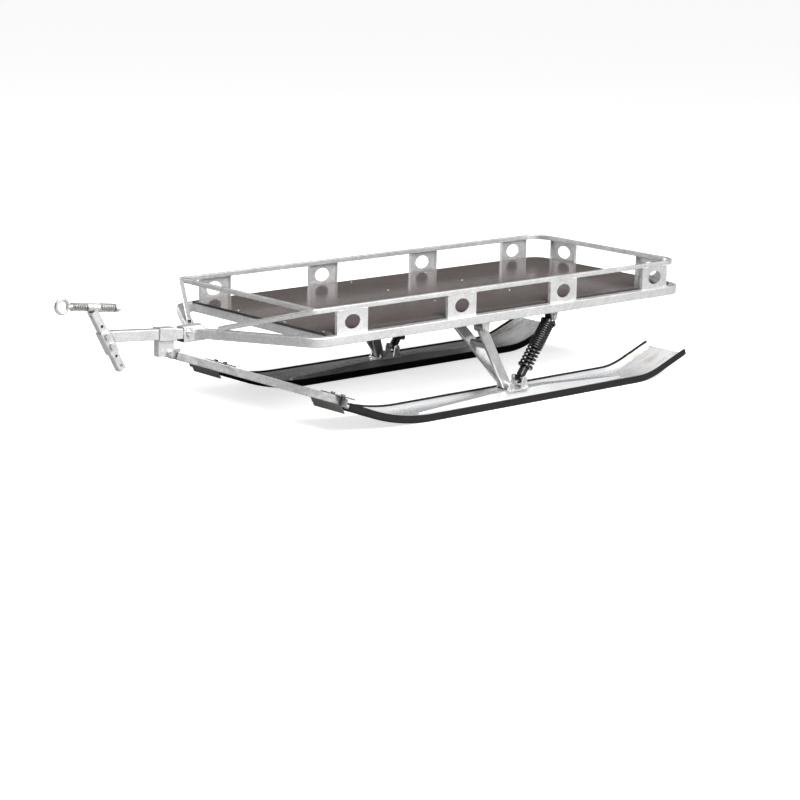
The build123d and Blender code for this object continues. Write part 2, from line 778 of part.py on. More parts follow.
def bracket_ears(places, drop, hole):
    """Ears hanging from weld places, each rounded about its hole."""
    with BuildPart() as ears:
        for place in places:
            with BuildSketch(across(place)):
                with Locations((0, drop)):
                    Circle(hole / 2 + 2 * ear_sheet)
                Rectangle(ear_width, ear_root, align=(Align.CENTER, Align.MIN))
                make_hull()
                with Locations((0, drop)):
                    Circle(hole / 2 + clearance, mode=Mode.SUBTRACT)
            extrude(amount=ear_sheet / 2, both=True)
    return ears.part


# Suspension places
arm_x = back + arm_pivot_at
saddle_x = back + saddle_pin_at
foot_x = back + shock_foot_at
top_x = back + shock_top_at
saddle_mid = (saddle_x + foot_x) / 2
rib_top = sheet_top + rib_height
shock_dir = Vector(top_x - foot_x, 0, shock_top_height - shock_foot_height).normalized()
arm_gap = arm_eye_length / 2 + clearance + ear_sheet / 2
shock_gap = shock_eye_length / 2 + clearance + ear_sheet / 2
arm_grip = arm_eye_length + 2 * clearance + 2 * ear_sheet
shock_grip = shock_eye_length + 2 * clearance + 2 * ear_sheet

# Brackets welded under the frame and its bearers
arm_ear_places = [
    (arm_x, sign * (pivot_y + end * arm_gap), frame_base)
    for side, sign in sides
    for pivot_y in (arm_outer, arm_inner)
    for end in (1, -1)
]
shock_ear_places = [
    (top_x, sign * (ski_y + end * shock_gap), frame_base) for side, sign in sides for end in (1, -1)
]
write_group([bracket_ears(arm_ear_places, frame_base - arm_pivot_height, arm_pin)], "arm_brackets")
write_group([bracket_ears(shock_ear_places, frame_base - shock_top_height, shock_pin)], "shock_brackets")

# Saddles: channels on the ribs, open upwards
saddles = []
for side, sign in sides:
    floor = Vector(saddle_mid, sign * ski_y, rib_top)
    arm_hole = (saddle_x - saddle_mid, saddle_pin_height - rib_top)
    shock_hole = (foot_x - saddle_mid, shock_foot_height - rib_top)
    with BuildPart() as saddle:
        with BuildSketch(Plane(floor)):
            Rectangle(saddle_length, saddle_width)
        extrude(amount=saddle_sheet)
        with BuildSketch(Plane(floor, x_dir=(1, 0, 0), z_dir=(0, -1, 0))):
            with Locations(arm_hole):
                Circle(arm_pin + ear_sheet)
            with Locations(shock_hole):
                Circle(shock_pin + ear_sheet)
            make_hull()
            Rectangle(saddle_length, saddle_ear_height, align=(Align.CENTER, Align.MIN))
            with Locations(arm_hole):
                Circle(arm_pin / 2 + clearance, mode=Mode.SUBTRACT)
            with Locations(shock_hole):
                Circle(shock_pin / 2 + clearance, mode=Mode.SUBTRACT)
        extrude(amount=saddle_width / 2, both=True)
        with BuildSketch(Plane(floor + Vector(0, 0, saddle_sheet))):
            Rectangle(saddle_length, saddle_width - 2 * ear_sheet)
        extrude(amount=saddle_length, mode=Mode.SUBTRACT)
        split(bisect_by=Plane.XY.offset(rib_top), keep=Keep.TOP)
    saddles.append(saddle.part)
write_group(saddles, "ski_saddles")

# Arms: two legs with a brace, from the frame pivots to one eye in the saddle
arms = []
for side, sign in sides:
    low = Vector(saddle_x, sign * ski_y, saddle_pin_height)
    highs = [Vector(arm_x, sign * pivot_y, arm_pivot_height) for pivot_y in (arm_outer, arm_inner)]
    eyes = (
        # centre, length
        (highs[0], arm_eye_length),
        (highs[1], arm_eye_length),
        (low, saddle_width - 2 * ear_sheet - 2 * clearance),
    )
    with BuildPart() as arm:
        for high in highs:
            leg_dir = (low - high).normalized()
            with BuildSketch(Plane(high, x_dir=(leg_dir.Z, 0, -leg_dir.X), z_dir=leg_dir)):
                bar_section(arm_bar, arm_bar_thick, arm_edge)
            extrude(amount=(low - high).length)
        brace_ends = [high + (low - high) * brace_share for high in highs]
        brace_plane = Plane(brace_ends[0], x_dir=(leg_dir.X, 0, leg_dir.Z), z_dir=(0, -sign, 0))
        with BuildSketch(brace_plane):
            Rectangle(brace_width, brace_thick)
        extrude(amount=(brace_ends[0] - brace_ends[1]).length)
        for centre, eye_length in eyes:
            with BuildSketch(across(centre)):
                Circle(arm_eye / 2)
            extrude(amount=eye_length / 2, both=True)
        with BuildSketch(across(low)):
            Circle(arm_pin / 2 + clearance)
        extrude(amount=saddle_width, both=True, mode=Mode.SUBTRACT)
        with BuildSketch(across((arm_x, 0, arm_pivot_height))):
            Circle(arm_pin / 2 + clearance)
        extrude(amount=sign * frame_width, mode=Mode.SUBTRACT)
    arms.append(arm.part)
write_group(arms, "arms")

# Shocks: two eyes, a body below, a rod above, a spring seat at each end and a coil spring
shock_length = Vector(top_x - foot_x, 0, shock_top_height - shock_foot_height).length
stages = (
    # start along the shock, end, diameter
    (0, body_start, shock_neck),
    (body_start, lower_seat_at, damper),
    (lower_seat_at, lower_seat_at + seat_sheet, seat),
    (lower_seat_at, body_end, damper_inner),
    (body_end, upper_seat_at, damper_rod),
    (upper_seat_at, upper_seat_at + seat_sheet, seat),
    (upper_seat_at, shock_length, shock_neck),
)
spring_base = lower_seat_at + seat_sheet
close_length = upper_seat_at - spring_base - spring_open_coils * spring_open_pitch
close_pitch = close_length / spring_close_coils
spring_runs = (
    # coils, pitch, width of one ridge
    (spring_open_coils, spring_open_pitch, spring_wire),
    (spring_close_coils, close_pitch, close_pitch),
)
shocks = []
springs = []
for side, sign in sides:
    shock_foot = Vector(foot_x, sign * ski_y, shock_foot_height)
    shock_top = Vector(top_x, sign * ski_y, shock_top_height)
    with BuildPart() as shock:
        for start, end, size in stages:
            with BuildSketch(Plane(shock_foot + shock_dir * start, x_dir=(0, 1, 0), z_dir=shock_dir)):
                Circle(size / 2)
            extrude(amount=end - start)
        for centre in (shock_foot, shock_top):
            with BuildSketch(across(centre)):
                Circle(shock_eye / 2)
            extrude(amount=shock_eye_length / 2, both=True)
        for centre in (shock_foot, shock_top):
            with BuildSketch(across(centre)):
                Circle(shock_pin / 2 + clearance)
            extrude(amount=shock_eye_length, both=True, mode=Mode.SUBTRACT)
    shocks.append(shock.part)
    spring_plane = Plane(shock_foot + shock_dir * spring_base, x_dir=(0, 1, 0), z_dir=shock_dir)
    springs.append(coil_sleeve(spring_plane, spring_bore, spring_outside, spring_runs))
write_group(shocks, "shocks")
write_group(springs, "shock_springs")

# Pins and bolts of the suspension
pin_rows = (
    # station from the frame back, distance from the centreline, height, diameter, grip
    (arm_pivot_at, arm_outer, arm_pivot_height, arm_pin, arm_grip),
    (arm_pivot_at, arm_inner, arm_pivot_height, arm_pin, arm_grip),
    (saddle_pin_at, ski_y, saddle_pin_height, arm_pin, saddle_width),
    (shock_foot_at, ski_y, shock_foot_height, shock_pin, saddle_width),
    (shock_top_at, ski_y, shock_top_height, shock_pin, shock_grip),
)
pins = []
for side, sign in sides:
    for station, y, height, size, grip in pin_rows:
        pins.append(through_bolt((back + station, sign * y, height), size, size, size / 2, grip))
write_group(pins, "suspension_pins")
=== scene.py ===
# %% [markdown]
# # A log sled in Blender
# The sled is a plywood deck inside a railed steel frame, carried on two long plastic skis
# with bright steel tops. A tow eye on coil springs draws it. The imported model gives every
# rigid piece its place, so this lesson starts by loading it and keeping its outer box.

# %% Load the frame
import json
from math import cos, pi, radians, sin

import bmesh
import bpy
from mathutils import Matrix, Vector


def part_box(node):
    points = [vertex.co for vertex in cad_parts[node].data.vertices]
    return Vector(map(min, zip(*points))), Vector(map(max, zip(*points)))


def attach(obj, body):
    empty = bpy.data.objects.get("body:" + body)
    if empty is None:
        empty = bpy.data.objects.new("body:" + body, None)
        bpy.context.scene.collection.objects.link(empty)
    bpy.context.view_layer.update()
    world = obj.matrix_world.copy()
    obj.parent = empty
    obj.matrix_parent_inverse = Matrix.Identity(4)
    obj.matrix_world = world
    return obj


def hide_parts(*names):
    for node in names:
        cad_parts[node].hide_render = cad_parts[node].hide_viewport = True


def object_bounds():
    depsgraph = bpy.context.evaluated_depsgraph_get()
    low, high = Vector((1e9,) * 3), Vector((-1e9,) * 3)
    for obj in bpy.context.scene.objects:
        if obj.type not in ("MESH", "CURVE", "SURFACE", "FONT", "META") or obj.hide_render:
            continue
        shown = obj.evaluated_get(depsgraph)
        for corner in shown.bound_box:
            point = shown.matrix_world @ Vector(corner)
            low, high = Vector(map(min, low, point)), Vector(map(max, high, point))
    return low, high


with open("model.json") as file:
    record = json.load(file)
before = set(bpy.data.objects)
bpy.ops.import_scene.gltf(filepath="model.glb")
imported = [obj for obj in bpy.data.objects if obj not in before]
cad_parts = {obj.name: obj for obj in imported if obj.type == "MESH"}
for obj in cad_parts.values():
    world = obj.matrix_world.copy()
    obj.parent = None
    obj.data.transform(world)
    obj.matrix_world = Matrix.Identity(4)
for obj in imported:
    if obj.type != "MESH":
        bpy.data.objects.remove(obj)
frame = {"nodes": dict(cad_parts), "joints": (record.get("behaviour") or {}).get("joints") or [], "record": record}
cad_low, cad_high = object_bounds()
rear = cad_low.x
print("cad box", [round(v, 4) for v in cad_low], [round(v, 4) for v in cad_high])

# %% [markdown]
# ## The viewpoint
# The sled is seen from its front left, a little from above, through a long lens. The camera
# is set by its turn, its height angle and its roll, and by a place measured from the sled's
# back end. A long lens from far away keeps the two skis almost parallel.

# %% Camera
view_turn = radians(138.29)
view_rise = radians(12.86)
view_roll = radians(1.17)
view_place = Vector((rear + 8.1647, 7.6412, 2.2878))
focal_length = 103.52
film_width = 36
far_clip = 400
up = Vector((0, 0, 1))

level_back = Vector((sin(view_turn), -cos(view_turn), 0))
look_back = level_back * cos(view_rise) + up * sin(view_rise)
level_right = up.cross(look_back).normalized()
level_up = look_back.cross(level_right)
look_right = level_right * cos(view_roll) + level_up * sin(view_roll)
look_up = look_back.cross(look_right)

lens = bpy.data.cameras.new("photo_lens")
lens.lens = focal_length
lens.sensor_width = film_width
lens.clip_end = far_clip
camera = bpy.data.objects.new("photo_camera", lens)
view_axes = Matrix((look_right, look_up, look_back)).transposed().to_4x4()
camera.matrix_world = Matrix.Translation(view_place) @ view_axes
bpy.context.scene.collection.objects.link(camera)
bpy.context.scene.camera = camera
print("camera", [round(v, 3) for v in view_place])

# %% [markdown]
# ## Writing shaders as sums
# A finish is a small network of nodes. Linking them by hand hides the idea, so an output
# socket is wrapped in a class that knows plus, minus and times. Each operation adds its own
# Math node, also when a number stands on the left, and a finish then reads like a recipe.

# %% Sums of sockets
class Field:
    """One output socket, usable in plain arithmetic."""

    def __init__(self, graph, socket):
        self.graph = graph
        self.socket = socket

    def math(self, operation, first, second):
        return self.graph.node("ShaderNodeMath", {"operation": operation}, {0: first, 1: second})

    def __add__(self, other):
        return self.math("ADD", self, other)

    def __radd__(self, other):
        return self.math("ADD", other, self)

    def __sub__(self, other):
        return self.math("SUBTRACT", self, other)

    def __rsub__(self, other):
        return self.math("SUBTRACT", other, self)

    def __mul__(self, other):
        return self.math("MULTIPLY", self, other)

    def __rmul__(self, other):
        return self.math("MULTIPLY", other, self)


print("sums of sockets ready")

# %% [markdown]
# ## One way to make a node
# Every node comes from one method that takes its type, its settings and the values or links
# of its sockets. The settings go first, because they can change which sockets a node has. A
# few short methods name what most finishes need: a place, a noise, a ramp, a mix and a bump.

# %% Node maker
# A Mix node repeats its socket names for each kind of data. These are the colour ones.
mix_amount, mix_first, mix_second, mix_result = 0, 6, 7, 2


class Graph:
    """A node tree that is filled one node at a time."""

    def __init__(self, tree):
        self.tree = tree
        tree.nodes.clear()

    def node(self, kind, settings, sockets, output=0):
        made = self.tree.nodes.new(kind)
        for name, value in settings.items():
            if name == "stops":
                while len(made.color_ramp.elements) < len(value):
                    made.color_ramp.elements.new(0.5)
                for element, (place, shade) in zip(made.color_ramp.elements, value):
                    element.position = place
                    element.color = (shade, shade, shade, 1)
            else:
                setattr(made, name, value)
        for key, value in sockets.items():
            if isinstance(value, Field):
                self.tree.links.new(value.socket, made.inputs[key])
            else:
                made.inputs[key].default_value = value
        return Field(self, made.outputs[output]) if made.outputs else None

    def place(self, scale=(1, 1, 1)):
        spot = self.node("ShaderNodeTexCoord", {}, {}, output="Object")
        return self.node("ShaderNodeMapping", {}, {"Vector": spot, "Scale": scale})

    def noise(self, spot, scale, detail=3.0, roughness=0.5):
        sockets = {"Vector": spot, "Scale": scale, "Detail": detail, "Roughness": roughness}
        return self.node("ShaderNodeTexNoise", {}, sockets)

    def ramp(self, value, stops):
        return self.node("ShaderNodeValToRGB", {"stops": stops}, {0: value})

    def mix(self, amount, *colours):
        first, second = [c if isinstance(c, Field) else (*c, 1) for c in colours]
        sockets = {mix_amount: amount, mix_first: first, mix_second: second}
        return self.node("ShaderNodeMix", {"data_type": "RGBA"}, sockets, output=mix_result)

    def bump(self, height, strength, distance):
        sockets = {"Height": height, "Strength": strength, "Distance": distance}
        return self.node("ShaderNodeBump", {}, sockets)

    def surface(self, sockets):
        shader = self.node("ShaderNodeBsdfPrincipled", {}, sockets)
        self.node("ShaderNodeOutputMaterial", {}, {"Surface": shader})


def new_finish(name):
    finish = bpy.data.materials.new(name)
    finish.use_nodes = True
    return finish, Graph(finish.node_tree)


print("node maker ready")

# %% [markdown]
# ## Hot-dip zinc
# The frame, rails, plates and poles are galvanised. Zinc sets in flat crystals, the spangle,
# each a little brighter or duller than its neighbour. Cells of a Voronoi pattern give each
# crystal its own shade and gloss, and a slow noise adds the cloudy patches of a dip. The arms,
# their brackets, the shock brackets and the poles get a darker copy of the same: painted shade.

# %% Galvanised steel
def zinc_finish(name, dark, light, spangle_scale, least_roughness):
    """Spangled zinc between two greys."""
    finish, graph = new_finish(name)
    spot = graph.place()
    spangle = {"Vector": spot, "Scale": spangle_scale}
    cells = graph.node("ShaderNodeTexVoronoi", {}, spangle, output="Color")
    crystal = graph.node("ShaderNodeSeparateColor", {}, {"Color": cells})
    cloud = graph.noise(spot, 9.0)
    speckle = graph.noise(spot, 150.0, detail=4.0, roughness=0.7)
    specks = graph.ramp(speckle, [(0.34, 0.0), (0.62, 1.0)])
    grain = graph.noise(spot, 420.0)
    shade = crystal * 0.25 + cloud * 0.45 + specks * 0.30
    graph.surface(
        {
            "Base Color": graph.mix(shade, dark, light),
            "Metallic": 0.82,
            "Roughness": crystal * 0.10 + cloud * 0.12 + least_roughness,
            "Normal": graph.bump(grain + crystal * 0.4, strength=0.10, distance=0.0006),
        }
    )
    return finish


galvanised = zinc_finish("galvanised_zinc", (0.48, 0.482, 0.48), (0.88, 0.882, 0.88), 85.0, 0.27)
bolt_zinc = zinc_finish("bolt_zinc", (0.50, 0.50, 0.48), (0.72, 0.72, 0.69), 240.0, 0.20)
pale_zinc = zinc_finish("pale_zinc", (0.46, 0.455, 0.425), (0.72, 0.715, 0.68), 160.0, 0.24)
dark_steel = zinc_finish("dull_steel", (0.15, 0.148, 0.143), (0.26, 0.257, 0.25), 120.0, 0.32)
# Painted shade: a darker copy of the galvanised finish for the arms, brackets and poles.
shaded_zinc = zinc_finish(
    "shaded_zinc", (0.33, 0.33, 0.327), (0.63, 0.63, 0.625), 85.0, 0.31
)
for zinc in (galvanised, bolt_zinc, pale_zinc, dark_steel, shaded_zinc):
    print("zinc finish", zinc.name)

# %% [markdown]
# ## Ski tops
# A bright steel sheet lies in each ski and mirrors what stands over it. Rolling leaves fine
# lines along its length, and handling leaves dull smears, so the noise is stretched along the
# ski and drives the roughness more than the colour. The turned-up tail is painted lighter, a
# painted highlight, and water and dirt stain it brown, so both are let through only near the back end.

# %% Bright sheet
# Reach of the tail's brown stain and of its painted highlight.
tail_reach = 0.34


def bright_sheet():
    finish, graph = new_finish("bright_sheet")
    lines = graph.noise(graph.place((1.2, 60, 60)), 5.0, detail=6.0, roughness=0.6)
    smear = graph.noise(graph.place((1, 4, 4)), 3.0)
    wave = graph.noise(graph.place((1, 3, 3)), 2.2, detail=1.0)
    along = graph.node("ShaderNodeSeparateXYZ", {}, {"Vector": graph.place()}, output="X")
    tail = graph.ramp(rear + tail_reach - along, [(0.0, 0.0), (0.5 * tail_reach, 1.0)])
    dirt = graph.noise(graph.place((2, 9, 9)), 3.0, detail=4.0)
    stain = tail * graph.ramp(dirt, [(0.48, 0.0), (0.66, 1.0)])
    steel = graph.mix(smear * 0.6 + lines * 0.4, (0.60, 0.606, 0.612), (0.82, 0.826, 0.832))
    # Painted highlight: the tail's colour is lifted towards near white, where the sheet would mirror the dim
    # front.
    painted_light_tail = graph.mix(tail * 0.8, steel, (0.96, 0.965, 0.97))
    graph.surface(
        {
            "Base Color": graph.mix(stain * 0.45, painted_light_tail, (0.42, 0.30, 0.21)),
            "Metallic": 0.68,
            "Roughness": lines * 0.10 + smear * 0.14 + 0.12,
            "Normal": graph.bump(wave + lines * 0.02, strength=0.12, distance=0.004),
        }
    )
    return finish


ski_top = bright_sheet()
print("bright sheet", ski_top.name)

# %% [markdown]
# ## Black plastic
# The runners are black polyethylene, waxy and slightly mottled from moulding, with fine
# scuffs along the direction of travel. The scuffs lighten the black a little and roughen it.

# %% Runner plastic
def runner_plastic():
    finish, graph = new_finish("runner_plastic")
    mottle = graph.noise(graph.place(), 55.0)
    streaks = graph.noise(graph.place((2, 90, 90)), 4.0, detail=8.0, roughness=0.65)
    scuffs = graph.ramp(streaks, [(0.52, 0.0), (0.74, 1.0)])
    wear = scuffs * 0.5 + mottle * 0.5
    graph.surface(
        {
            "Base Color": graph.mix(wear, (0.010, 0.0094, 0.0090), (0.031, 0.0297, 0.0287)),
            "Roughness": mottle * 0.16 + scuffs * 0.14 + 0.30,
            "Specular IOR Level": 0.1,
            "Normal": graph.bump(mottle + scuffs * 0.3, strength=0.10, distance=0.0008),
        }
    )
    return finish


ski_plastic = runner_plastic()
print("runner plastic", ski_plastic.name)

# %% [markdown]
# ## Deck board
# Film-faced plywood: a brown resin film with a pressed wire pattern on top, and sealed edges
# that look almost black. Two crossed waves press the wire pattern as bump, and the normal
# tells top from edge, so one finish covers both.

# %% Film-faced board
wire_scale = 75.0


def pressed_wires(graph, slant):
    """Height of a row of wires that runs across the board at a slant of 1 or -1."""
    shape = {"bands_direction": "DIAGONAL", "wave_profile": "SIN"}
    sockets = {"Vector": graph.place((1, slant, 0)), "Scale": wire_scale}
    return graph.node("ShaderNodeTexWave", shape, sockets, output="Fac")


def film_board():
    finish, graph = new_finish("film_board")
    cloud = graph.noise(graph.place((1, 5, 1)), 4.0, detail=5.0)
    streaks = graph.noise(graph.place((3, 70, 1)), 3.0, detail=8.0, roughness=0.7)
    scratches = graph.ramp(streaks, [(0.58, 0.0), (0.70, 1.0)])
    wires = pressed_wires(graph, 1) + pressed_wires(graph, -1)
    facing = graph.node("ShaderNodeNewGeometry", {}, {}, output="Normal")
    upward = graph.node("ShaderNodeSeparateXYZ", {}, {"Vector": facing}, output="Z")
    top = graph.ramp(upward, [(0.6, 0.0), (0.8, 1.0)])
    pores = graph.noise(graph.place(), 260.0)
    wear = cloud * 0.75 + scratches * 0.25
    film = graph.mix(wear, (0.064, 0.052, 0.050), (0.118, 0.101, 0.098))
    graph.surface(
        {
            "Base Color": graph.mix(1 - top, film, (0.012, 0.010, 0.009)),
            "Roughness": cloud * 0.10 + scratches * 0.10 + 0.11,
            "Specular IOR Level": 0.8,
            "Normal": graph.bump(wires * top * 0.5 + pores * 0.2, strength=0.10, distance=0.0005),
        }
    )
    return finish


deck_film = film_board()
print("deck film", deck_film.name)

# %% [markdown]
# ## Black paint
# The shocks and their springs are powder coated black. The coat has a fine orange peel and a
# hard gloss, with a trace of dust that greys it.

# %% Powder coat
def powder_coat(name, clean, dusty, least_roughness):
    """Black coat between a clean and a dusty grey. The dust is a trace bluer."""
    finish, graph = new_finish(name)
    peel = graph.noise(graph.place(), 380.0)
    dust = graph.noise(graph.place(), 24.0, detail=4.0)
    graph.surface(
        {
            "Base Color": graph.mix(dust, (clean, clean, clean), (dusty, dusty, dusty * 1.03)),
            "Roughness": dust * 0.14 + least_roughness,
            "Coat Weight": 0.25,
            "Coat Roughness": 0.18,
            "Normal": graph.bump(peel, strength=0.08, distance=0.0004),
        }
    )
    return finish


spring_paint = powder_coat("spring_paint", 0.005, 0.018, 0.24)
damper_paint = powder_coat("damper_paint", 0.004, 0.014, 0.20)
print("paints", spring_paint.name, damper_paint.name)

# %% [markdown]
# ## Finishes on the imported pieces
# Every imported piece already has its shape. It only needs its finish, and the record's slots
# say which piece is made of what. A short list names the zinc pieces that take painted shade.

# %% Dress the imported pieces
slot_finish = {
    "galvanised_steel": galvanised,
    "bright_steel": ski_top,
    "black_plastic": ski_plastic,
    "deck_board": deck_film,
    "spring_black": spring_paint,
    "damper_black": damper_paint,
    "pale_zinc": pale_zinc,
    "bolt_zinc": bolt_zinc,
    "dark_steel": dark_steel,
}
# Pieces that take the darker zinc copy, as painted shade.
shaded_pieces = ("arms", "arm_brackets", "shock_brackets", "pole_left", "pole_right")
node_slot = {entry["node"]: entry["material_slot"] for entry in frame["record"]["subparts"]}
for node, piece in frame["nodes"].items():
    finish = shaded_zinc if node in shaded_pieces else slot_finish[node_slot[node]]
    piece.data.materials.clear()
    piece.data.materials.append(finish)
print("dressed", len(frame["nodes"]), "packed pieces")

# %% [markdown]
# ## One way to finish a piece
# A new piece is modelled in a bmesh at its real place, turned into an object at the origin,
# given its finish and tied to the body that it moves with. Faces are shaded smooth, and only
# edges that turn sharply are kept as creases.

# %% Piece helper
crease = radians(35)
merge_reach = 1e-6


def make_piece(mesh, name, slot, body, replaced=()):
    bmesh.ops.remove_doubles(mesh, verts=mesh.verts, dist=merge_reach)
    bmesh.ops.recalc_face_normals(mesh, faces=mesh.faces)
    for face in mesh.faces:
        face.smooth = True
    for edge in mesh.edges:
        edge.smooth = edge.calc_face_angle(0) < crease
    data = bpy.data.meshes.new(name)
    mesh.to_mesh(data)
    mesh.free()
    data.materials.append(slot_finish[slot])
    piece = bpy.data.objects.new(name, data)
    bpy.context.scene.collection.objects.link(piece)
    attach(piece, body)
    if replaced:
        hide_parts(*replaced)
    print(name, len(data.polygons), "faces")


print("piece helper ready")

# %% [markdown]
# ## Coil springs
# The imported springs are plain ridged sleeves. A real one is a wire wound in a helix, which
# the spin operator winds when each step also moves along the axis. A spring may change pitch
# on its way, so each run goes on from where the last one ended, and flat caps close the wire.

# %% Winding a spring
left = Vector((0, 1, 0))
wire_sides = 10
steps_per_turn = 26


def across_to(direction, across=left):
    """Turn that carries the z axis to a direction and keeps x near the way across."""
    z_axis = direction.normalized()
    x_axis = (across - z_axis * across.dot(z_axis)).normalized()
    return Matrix((x_axis, z_axis.cross(x_axis), z_axis)).transposed().to_4x4()


def edges_of(verts):
    return list(dict.fromkeys(edge for vert in verts for edge in vert.link_edges))


def wind_spring(mesh, start, axis, middle_radius, wire, runs):
    """Wind a wire round an axis: runs are pairs of turns and length."""
    wire_place = Matrix.Translation(start) @ across_to(axis)
    wire_place @= Matrix.Translation((middle_radius, 0, 0)) @ Matrix.Rotation(pi / 2, 4, "X")
    ring = bmesh.ops.create_circle(
        mesh, segments=wire_sides, radius=wire / 2, cap_ends=False, matrix=wire_place
    )["verts"]
    first_edges = edges_of(ring)
    moving = ring + first_edges
    centre = start.copy()
    for turns, length in runs:
        steps = round(turns * steps_per_turn)
        wound = bmesh.ops.spin(
            mesh,
            geom=moving,
            cent=centre,
            axis=axis,
            dvec=axis * (length / steps),
            angle=2 * pi * turns,
            steps=steps,
        )
        moving = wound["geom_last"]
        centre = centre + axis * length
    last_edges = [part for part in moving if isinstance(part, bmesh.types.BMEdge)]
    bmesh.ops.contextual_create(mesh, geom=first_edges)
    bmesh.ops.contextual_create(mesh, geom=last_edges)


print("spring winder ready")

# %% [markdown]
# ## Shock springs
# Each shock carries one black spring: a few open coils at the bottom, then close coils up to
# the top seat. The shock's two pins give its axis, and all that sits on it is measured up from
# the foot pin.

# %% Shock springs
ski_y = 0.4335
shock_foot = Vector((rear + 1.024, 0, 0.088))
shock_top = Vector((rear + 0.834, 0, 0.351))
shock_axis = (shock_top - shock_foot).normalized()
spring_wire = 0.0095
spring_outside = 0.067
spring_low = 0.063
spring_runs = (
    # turns, length
    (5, 0.091),
    (12, 0.131),
)


def on_shock(side, along):
    return shock_foot + left * (side * ski_y) + shock_axis * along


coils = bmesh.new()
for side in (1, -1):
    spring_base = on_shock(side, spring_low + spring_wire / 2)
    coil_radius = (spring_outside - spring_wire) / 2
    wind_spring(coils, spring_base, shock_axis, coil_radius, spring_wire, spring_runs)
make_piece(coils, "shock_coils", "spring_black", "sled", ("shock_springs",))

# %% [markdown]
# ## Draw springs
# Two short springs on the tow eye's shank soften each pull and push. They are wound like the
# shock springs, from a thinner wire, between the seats and the sleeve.

# %% Draw springs
eye_centre = Vector(frame["joints"][0]["pos_m"])
eye_tilt = radians(7.5)
eye_back = Vector((-cos(eye_tilt), 0, -sin(eye_tilt)))
draw_wire = 0.0044
draw_turns = 8
draw_places = (
    # start and end behind the ring's centre, outside width
    (0.0483, 0.119, 0.034),
    (0.177, 0.2557, 0.038),
)

draw_coils = bmesh.new()
for start, end, draw_outside in draw_places:
    draw_base = eye_centre + eye_back * (start + draw_wire / 2)
    coil_radius = (draw_outside - draw_wire) / 2
    draw_runs = ((draw_turns, end - start - draw_wire),)
    wind_spring(draw_coils, draw_base, eye_back, coil_radius, draw_wire, draw_runs)
make_piece(draw_coils, "draw_coils", "pale_zinc", "sled", ("eye_springs",))

# %% [markdown]
# ## Turned parts
# The eye's shank, washers, bolt ends and screw heads are all round about one axis, so each is
# a short outline of distance and radius, spun once round. A lathe works the same way.

# %% Lathe
def lathe(mesh, origin, axis, outline, sides=24):
    """Spin an outline of (distance along the axis, radius) once round."""
    outward = axis.orthogonal().normalized()
    points = [mesh.verts.new(origin + axis * along + outward * r) for along, r in outline]
    edges = [mesh.edges.new(pair) for pair in zip(points, points[1:])]
    bmesh.ops.spin(
        mesh,
        geom=points + edges,
        cent=origin,
        axis=axis,
        angle=2 * pi,
        steps=sides,
        use_merge=True,
    )


print("lathe ready")

# %% [markdown]
# ## Tow eye
# The eye is one forging: a round ring and a neck that thickens into a collar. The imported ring
# has eight flats, so a smooth one takes its place: a circle of the wire's width, spun once
# round the ring's centre. The neck and collar are turned.

# %% Tow eye
ring_radius = 0.028
ring_wire = 0.0145
wire_facets = 20
ring_facets = 56
turned_facets = 32
collar_at = 0.045
collar_end = 0.048
collar_radius = 0.017
collar_edge = 0.0008
neck_outline = (
    # distance behind the ring's centre, radius
    (ring_radius, 0.0),
    (ring_radius, 0.0082),
    (0.035, 0.0086),
    (0.041, 0.0102),
    (collar_at, 0.0122),
)
collar_outline = (
    (collar_at, collar_radius - collar_edge),
    (collar_at + collar_edge, collar_radius),
    (collar_end - collar_edge, collar_radius),
    (collar_end, collar_radius - collar_edge),
    (collar_end, 0.0),
)

eye = bmesh.new()
wire_middle = eye_centre - eye_back * ring_radius
wire_place = Matrix.Translation(wire_middle) @ across_to(eye_back.cross(left))
section = bmesh.ops.create_circle(
    eye, segments=wire_facets, radius=ring_wire / 2, cap_ends=False, matrix=wire_place
)["verts"]
bmesh.ops.spin(
    eye,
    geom=section + edges_of(section),
    cent=eye_centre,
    axis=left,
    angle=2 * pi,
    steps=ring_facets,
    use_merge=True,
)
lathe(eye, eye_centre, eye_back, neck_outline + collar_outline, turned_facets)
make_piece(eye, "tow_eye_forging", "pale_zinc", "tow_eye", ("tow_eye",))

# %% [markdown]
# ## Shank
# The eye's long shank is dark, painted shade for the gaps between the draw spring's coils, and is
# its own piece. It is turned, and its tail is thinner by the depth of a thread. The thread itself is a thin wire,
# wound on like a spring.

# %% Shank
shank_radius = 0.010
shank_tail = 0.283
tail_bevel = 0.002
thread_start = 0.268
thread_lead = 0.001
thread_pitch = 0.0025
thread_depth = 0.0012
root_radius = shank_radius - thread_depth
shank_outline = (
    (collar_end, 0.0),
    (collar_end, shank_radius),
    (thread_start, shank_radius),
    (thread_start + thread_lead, root_radius),
    (shank_tail - tail_bevel, root_radius),
    (shank_tail, root_radius - thread_depth),
    (shank_tail, 0.0),
)

shank = bmesh.new()
lathe(shank, eye_centre, eye_back, shank_outline, turned_facets)
thread_base = eye_centre + eye_back * thread_start
thread_length = shank_tail - tail_bevel - thread_start
thread_runs = ((thread_length / thread_pitch, thread_length),)
wind_spring(shank, thread_base, eye_back, root_radius, thread_depth, thread_runs)
# Painted shade: the shank takes the dark steel finish so that the coil gaps read dark.
make_piece(shank, "tow_eye_shank", "dark_steel", "tow_eye")

# %% [markdown]
# ## Where the bolts are
# Two bolts clamp the hitch bar to the drawbar, one holds the drawbar in its socket and one
# carries both draw poles. The clamp's bolts are measured along the leaning hitch bar, from the
# point where it crosses the drawbar. All of them lie across the sled.

